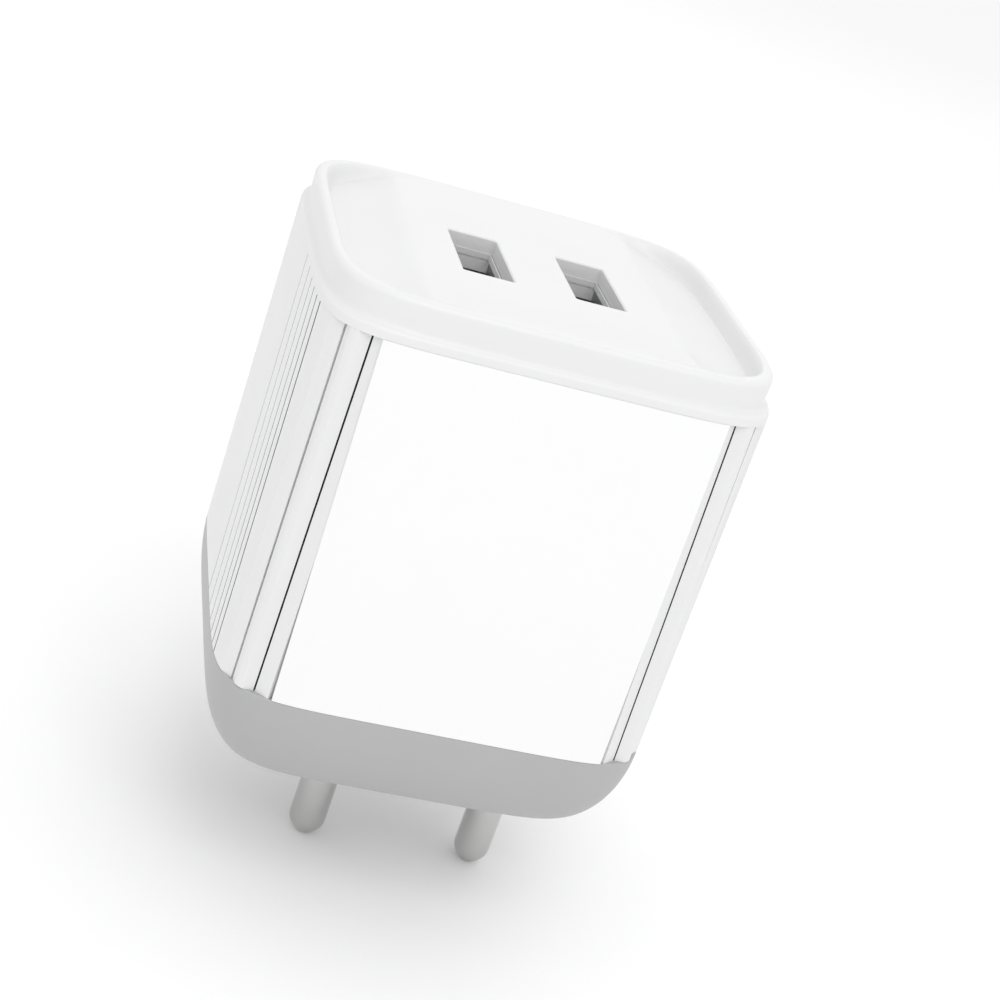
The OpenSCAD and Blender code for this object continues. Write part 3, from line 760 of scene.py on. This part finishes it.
def face_height(x, y):
    """Height of the face: it rises to the rim at the front and back, and sinks at the ends."""
    off = DISH_MIDDLE - abs(x)
    sink = 0.0
    if off < DISH_RUN:
        sink = DISH_DEPTH - DISH_RADIUS + sqrt(DISH_RADIUS ** 2 - off ** 2)
    front = TOP_DEPTH - RIM_INSET - LIP_ROUND
    rise = ease((abs(y) - (front - FACE_SLOPE)) / FACE_SLOPE)
    near_end = 1 - ease((abs(x) - END_START) / (DISH_MIDDLE - END_START))
    return FACE - sink + FACE_SUNK * rise * near_end


# %% Grow the cap
def make_cap():
    rim_height = TOP - SLEEVE_TOP
    outside = [rim_level(0.0, 0.0, 0.0), rim_level(0.0, 0.35 * MM, 0.0)]
    outside += arc_levels(0.5 * MM, 0.6 * MM, 0.48 * MM, 0, 60, 6, 0.2)
    outside += [rim_level(RIM_INSET - 0.06 * MM, SHOULDER, 0.5),
                rim_level(RIM_INSET + 0.02 * MM, SHOULDER + 0.25 * MM, 0.8),
                rim_level(RIM_INSET + 0.03 * MM, SHOULDER + 0.7 * MM, 1.0)]
    outside += arc_levels(RIM_INSET + LIP_ROUND, rim_height - LIP_ROUND, LIP_ROUND, 0, 90, 8)
    edge = rim_level(FACE_EDGE - 0.5 * MM, rim_height)
    across = [tuple(size * share for size in edge[:2]) + (RIM_POWER, TOP)
              for share in (1.0, 0.992, 0.984, 0.976, 0.968, 0.955, 0.94, 0.92, 0.9, 0.87, 0.84,
                            0.8, 0.76, 0.72, 0.68, 0.64, 0.6, 0.53, 0.46, 0.38, 0.3, 0.2, 0.1)]
    cap = start_ring("face_cap_shell", even_ring(outside[0], 320), SLEEVE_TOP)
    select_only(cap)
    bpy.ops.mesh.select_all(action="SELECT")
    grow_wall(outside + across)
    bpy.ops.mesh.edge_face_add()
    lower_face(cap, edge, TOP)
    return cap


def lower_face(cap, edge, flat, thick=0.0):
    """Drops the level points inside the lip onto the dish, or onto its underside. The
    first millimetre inside the edge eases down from the rim."""
    mesh = bmesh.from_edit_mesh(cap.data)
    for corner in mesh.verts:
        x, y, z = corner.co
        inside = reach(atan2(y, x), edge) - hypot(x, y)
        if inside > 0.001 * MM and abs(z - flat) < 0.001 * MM:
            full = 1.0 if thick else ease(inside / (1.1 * MM))
            corner.co.z = flat + (face_height(x, y) - thick - flat) * full
    bmesh.update_edit_mesh(cap.data)


cap = make_cap()

# %% [markdown]
# ## Closing the cap from below
# The cap is a shell with a skirt that plugs into the sleeve. The open ring at the
# shoulder is extruded inwards, down the skirt, back up its inside and over the
# underside of the face, so that the piece is a closed solid of real thickness.

# %% The skirt and the underside
FACE_THICK = 1.6 * MM
SKIRT_WALL = 1.2 * MM


def close_cap(cap):
    bpy.ops.mesh.select_all(action="DESELECT")
    mesh = bmesh.from_edit_mesh(cap.data)
    for edge in mesh.edges:
        edge.select = edge.is_boundary
    bmesh.update_edit_mesh(cap.data)
    skirt = SLEEVE_WALL + FIT
    hollow = skirt + SKIRT_WALL
    under = rim_level(hollow, FACE - FACE_THICK - SLEEVE_TOP, 0.0)
    across = [tuple(size * share for size in under[:2]) + (SHELL_POWER, under[3])
              for share in (0.95, 0.9, 0.85, 0.8, 0.74, 0.68, 0.62, 0.5, 0.3)]
    grow_wall([rim_level(0.0, 0.0, 0.0), rim_level(skirt, 0.0, 0.0),
               rim_level(skirt, -CAP_SKIRT, 0.0), rim_level(hollow, -CAP_SKIRT, 0.0),
               under] + across)
    bpy.ops.mesh.edge_face_add()
    lower_face(cap, rim_level(0.0, 0.0), under[3], FACE_THICK)
    bpy.ops.object.mode_set(mode="OBJECT")
    tidy_mesh(cap, 32)


close_cap(cap)

# %% [markdown]
# ## The two ports
# Each port is a straight well through the face with a small chamfer round its mouth.
# The cutter starts as a box with rounded corners. Its top is extruded twice: once
# outwards for the chamfer and once straight up, clear of the face. Below the well a
# short white collar lines the mouth of the steel shell, and guides a plug into it.

# %% Cut the ports
SHELL_BOXES = {side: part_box(f"usb_shell_{side}") for side in ("left", "right")}
PORT_WIDTH, PORT_LENGTH = 5.2 * MM, 12.2 * MM
PORT_CHAMFER = 0.14 * MM
MOUTH_WIDTH, MOUTH_LENGTH = 4.7 * MM, 12.04 * MM
COLLAR_WIDTH, COLLAR_LENGTH = 5.02 * MM, 12.4 * MM
COLLAR_DEPTH = 0.6 * MM
COLLAR_GRIP = 0.02 * MM


def box_piece(name, low, high):
    """A cube primitive stretched between two corners, with its place in its mesh."""
    clear()
    bpy.ops.mesh.primitive_cube_add(size=1)
    piece = bpy.context.object
    piece.name = name
    for corner in piece.data.vertices:
        corner.co = [a if c < 0 else b for c, a, b in zip(corner.co, low, high)]
    return piece


def bevel_upright(piece, width, segments=4):
    """Rounds the upright edges of a piece."""
    select_only(piece, "EDGE")
    mesh = bmesh.from_edit_mesh(piece.data)
    for edge in mesh.edges:
        a, b = (v.co for v in edge.verts)
        edge.select = hypot(a.x - b.x, a.y - b.y) < 0.01 * MM
    bmesh.update_edit_mesh(piece.data)
    bpy.ops.mesh.bevel(offset=width, segments=segments)


def select_faces(piece, wanted):
    """Selects the faces for which wanted(centre, normal) is true."""
    mesh = bmesh.from_edit_mesh(piece.data)
    for face in mesh.faces:
        face.select = bool(wanted(face.calc_center_median(), face.normal))
    mesh.select_flush_mode()
    bmesh.update_edit_mesh(piece.data)


def cut_port(side):
    low, high = SHELL_BOXES[side]
    x = (low.x + high.x) / 2
    corner = Vector((x - PORT_WIDTH / 2, -PORT_LENGTH / 2, FACE - 4 * MM))
    cutter = box_piece("cutter", corner, (x + PORT_WIDTH / 2, PORT_LENGTH / 2, FACE - PORT_CHAMFER))
    bevel_upright(cutter, 0.3 * MM)
    bpy.ops.mesh.select_mode(type="FACE")
    select_faces(cutter, lambda centre, normal: normal.z > 0.9)
    bpy.ops.mesh.extrude_region_move(TRANSFORM_OT_translate={"value": (0, 0, PORT_CHAMFER)})
    bpy.ops.transform.resize(value=(1 + 2 * PORT_CHAMFER / PORT_WIDTH,
                                    1 + 2 * PORT_CHAMFER / PORT_LENGTH, 1),
                             center_override=(x, 0, FACE))
    bpy.ops.mesh.extrude_region_move(TRANSFORM_OT_translate={"value": (0, 0, 1 * MM)})
    bpy.ops.object.mode_set(mode="OBJECT")
    cut_away(cap, cutter)


def make_collar(side):
    """The short collar that reaches from the cap into the mouth of the steel shell."""
    low, high = SHELL_BOXES[side]
    middle = (low + high) / 2
    outer = Vector((COLLAR_WIDTH / 2, COLLAR_LENGTH / 2, 0))
    inner = Vector((MOUTH_WIDTH / 2, MOUTH_LENGTH / 2, 0))
    level = Vector((middle.x, middle.y, high.z))
    down, grip = Vector((0, 0, -COLLAR_DEPTH)), Vector((0, 0, COLLAR_GRIP))
    collar = box_piece("collar", level - outer + down, level + outer + grip)
    hole = box_piece("hole", level - inner + 2 * down, level + inner - 2 * down)
    cut_away(collar, hole)
    return collar


for side in SHELL_BOXES:
    cut_port(side)
collars = [make_collar(side) for side in SHELL_BOXES]
clear()
for piece in collars + [cap]:
    piece.select_set(True)
bpy.context.view_layer.objects.active = cap
bpy.ops.object.join()
bpy.ops.object.shade_smooth_by_angle(angle=radians(32))
place_piece(cap, FINISHES["housing_white"], "housing_white", "face_cap")

# %% [markdown]
# ## The sockets under the ports
# A USB socket is a folded steel shell round a plastic tongue, with four contacts on
# one side of the tongue. The shell is a box without its ends, given a wall with the
# Solidify modifier. Four springs are pressed into its long sides; they are what holds
# a plug. The tongue is one block whose middle is extruded upwards.

# %% The folded steel shell
SHEET = 0.3 * MM
SPRING_WIDTH = 1.5 * MM
SPRING_THICK = 0.2 * MM
SPRING_BOW = 0.34 * MM
SPRING_FOOT = 7 * MM
SPRING_LENGTH = 5.8 * MM
SPRING_OFF = 3 * MM


def make_shell(side):
    low, high = SHELL_BOXES[side]
    shell = box_piece(f"usb_shell_{side}_steel", low, high)
    bevel_upright(shell, 0.55 * MM, 5)
    bpy.ops.mesh.select_mode(type="FACE")
    select_faces(shell, lambda centre, normal: abs(normal.z) > 0.9)
    bpy.ops.mesh.delete(type="FACE")
    bpy.ops.object.mode_set(mode="OBJECT")
    wall = shell.modifiers.new("wall", "SOLIDIFY")
    wall.thickness, wall.offset = SHEET, -1
    clear()
    shell.select_set(True)
    bpy.context.view_layer.objects.active = shell
    bpy.ops.object.modifier_apply(modifier=wall.name)
    return shell


def add_springs(shell, side):
    """Bent strips on both long sides, joined to the shell."""
    low, high = SHELL_BOXES[side]
    strips = []
    for x, way in ((low.x + SHEET, 1), (high.x - SHEET, -1)):
        near, far = sorted((x, x + way * SPRING_THICK))
        foot = high.z - SPRING_FOOT
        for y in (-SPRING_OFF, SPRING_OFF):
            strip = box_piece("spring", (near, y - SPRING_WIDTH / 2, foot),
                              (far, y + SPRING_WIDTH / 2, foot + SPRING_LENGTH))
            select_only(strip, "EDGE")
            bpy.ops.mesh.select_all(action="SELECT")
            bpy.ops.mesh.subdivide(number_cuts=8)
            mesh = bmesh.from_edit_mesh(strip.data)
            for corner in mesh.verts:
                along = (corner.co.z - foot) / SPRING_LENGTH
                corner.co.x += way * SPRING_BOW * sin(pi * min(1, max(0, along))) ** 2
            bmesh.update_edit_mesh(strip.data)
            bpy.ops.object.mode_set(mode="OBJECT")
            strips.append(strip)
    clear()
    for strip in strips:
        strip.select_set(True)
    shell.select_set(True)
    bpy.context.view_layer.objects.active = shell
    bpy.ops.object.join()


for side in SHELL_BOXES:
    shell = make_shell(side)
    add_springs(shell, side)
    tidy_mesh(shell, 35)
    place_piece(shell, FINISHES["shell_steel"], "shell_steel", f"usb_shell_{side}")

# %% [markdown]
# ## The tongue and its contacts
# The tongue's end is chamfered so that a plug slides over it. The contacts are thin
# gold strips lying on its flat side, each with a rounded nose.

# %% Tongue and contacts
TONGUE_THICK = 1.84 * MM
TONGUE_HALF = 5.55 * MM
BLOCK_HEIGHT = 3 * MM
CONTACT_PLACES = (-3.5 * MM, -1 * MM, 1 * MM, 3.5 * MM)
CONTACT_WIDTH = 1 * MM


def make_tongue(side):
    low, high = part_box(f"usb_tongue_{side}")
    contact_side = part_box(f"usb_contacts_{side}")[1].x
    tongue = box_piece(f"usb_tongue_{side}_block", low, (high.x, high.y, low.z + BLOCK_HEIGHT))
    select_only(tongue, "FACE")
    select_faces(tongue, lambda centre, normal: normal.z > 0.9)
    bpy.ops.mesh.extrude_region_move()
    mesh = bmesh.from_edit_mesh(tongue.data)
    for corner in (v for v in mesh.verts if v.select):
        left = corner.co.x < (low.x + high.x) / 2
        corner.co.x = contact_side + (0 if left else TONGUE_THICK)
        corner.co.y = TONGUE_HALF * (1 if corner.co.y > 0 else -1)
    bmesh.update_edit_mesh(tongue.data)
    rise = high.z - low.z - BLOCK_HEIGHT
    bpy.ops.mesh.extrude_region_move(TRANSFORM_OT_translate={"value": (0, 0, rise)})
    bpy.ops.mesh.bevel(offset=0.3 * MM, segments=2)
    bpy.ops.object.mode_set(mode="OBJECT")
    tidy_mesh(tongue, 35)
    return tongue


def make_contacts(side):
    low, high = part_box(f"usb_contacts_{side}")
    strips = []
    for y in CONTACT_PLACES:
        strip = box_piece(f"usb_contacts_{side}_strips", (low.x, y - CONTACT_WIDTH / 2, low.z),
                          (high.x, y + CONTACT_WIDTH / 2, high.z))
        select_only(strip, "EDGE")
        mesh = bmesh.from_edit_mesh(strip.data)
        for edge in mesh.edges:
            edge.select = all(v.co.x < low.x + 0.01 * MM for v in edge.verts)
        bmesh.update_edit_mesh(strip.data)
        bpy.ops.mesh.bevel(offset=0.1 * MM, segments=2)
        bpy.ops.object.mode_set(mode="OBJECT")
        strips.append(strip)
    clear()
    for strip in strips:
        strip.select_set(True)
    bpy.context.view_layer.objects.active = strips[0]
    bpy.ops.object.join()
    tidy_mesh(strips[0], 35)
    return strips[0]


for side in SHELL_BOXES:
    place_piece(make_tongue(side), FINISHES["socket_black"], "socket_black", f"usb_tongue_{side}")
    place_piece(make_contacts(side), FINISHES["contact_gold"], "contact_gold",
                f"usb_contacts_{side}")

# %% [markdown]
# ## Floor, light and camera
# A white object needs a bright, even room, and just enough difference from side to
# side to show its corners. The floor is plain and pale, and the world gives most of
# the light. A large soft lamp high in front lifts the panel and the port walls, a
# weaker one hangs overhead, and one behind keeps the far edges bright. The camera is
# placed by two angles and a distance, and then rolled.

# %% The floor
FLOOR = PIN_BOXES[0][0].z


def make_floor():
    clear()
    bpy.ops.mesh.primitive_plane_add(size=8, location=(0, 0, FLOOR))
    floor = bpy.context.object
    floor.name = "floor"
    floor.data.materials.append(moulded("floor_white", (0.93, 0.93, 0.93), 0.7, 0.0, 300.0,
                                        0.0001 * MM))
    return floor


make_floor()

# %% The lights
AIM = Vector((0, 0, 28 * MM))


def soft_lamp(name, azimuth, elevation, far, size, power):
    """A square lamp that looks at the charger. Azimuth 0 is in front."""
    a, e = radians(azimuth), radians(elevation)
    back = Vector((sin(a) * cos(e), -cos(a) * cos(e), sin(e)))
    data = bpy.data.lights.new(name, "AREA")
    data.shape, data.size, data.energy = "SQUARE", size, power
    lamp = bpy.data.objects.new(name, data)
    lamp.location = AIM + back * far
    lamp.rotation_mode = "QUATERNION"
    lamp.rotation_quaternion = back.to_track_quat("Z", "Y")
    bpy.context.scene.collection.objects.link(lamp)
    return lamp


# azimuth and elevation in degrees, distance and size in metres, power in watts
LAMPS = {"key_lamp": (2, 52, 0.6, 0.3, 0.75),
         "top_lamp": (10, 82, 0.6, 0.4, 0.1),
         "back_lamp": (160, 35, 0.7, 0.4, 0.2)}
for name, numbers in LAMPS.items():
    soft_lamp(name, *numbers)

world = bpy.data.worlds.new("room")
world.use_nodes = True
world.node_tree.nodes["Background"].inputs["Color"].default_value = (1, 1, 1, 1)
world.node_tree.nodes["Background"].inputs["Strength"].default_value = 1.0
scene = bpy.context.scene
scene.world = world
scene.view_settings.view_transform = "Standard"

# %% The camera
def place_camera():
    azimuth, elevation, roll = radians(-16.93), radians(22.7), radians(19.6)
    distance, across, up = 203.08 * MM, 3.79 * MM, -2.22 * MM
    back = Vector((sin(azimuth) * cos(elevation), -cos(azimuth) * cos(elevation), sin(elevation)))
    level = Vector((cos(azimuth), sin(azimuth), 0))
    upright = back.cross(level)
    right = cos(roll) * level + sin(roll) * upright
    high = cos(roll) * upright - sin(roll) * level
    data = bpy.data.cameras.new("camera")
    data.sensor_width, data.lens = 36.0, 70.39
    data.clip_start, data.clip_end = 0.01, 50.0
    camera = bpy.data.objects.new("camera", data)
    place = AIM + back * distance + right * across + high * up
    turn = Matrix((right, high, back)).transposed().to_4x4()
    camera.matrix_world = Matrix.Translation(place) @ turn
    scene.collection.objects.link(camera)
    scene.camera = camera


place_camera()
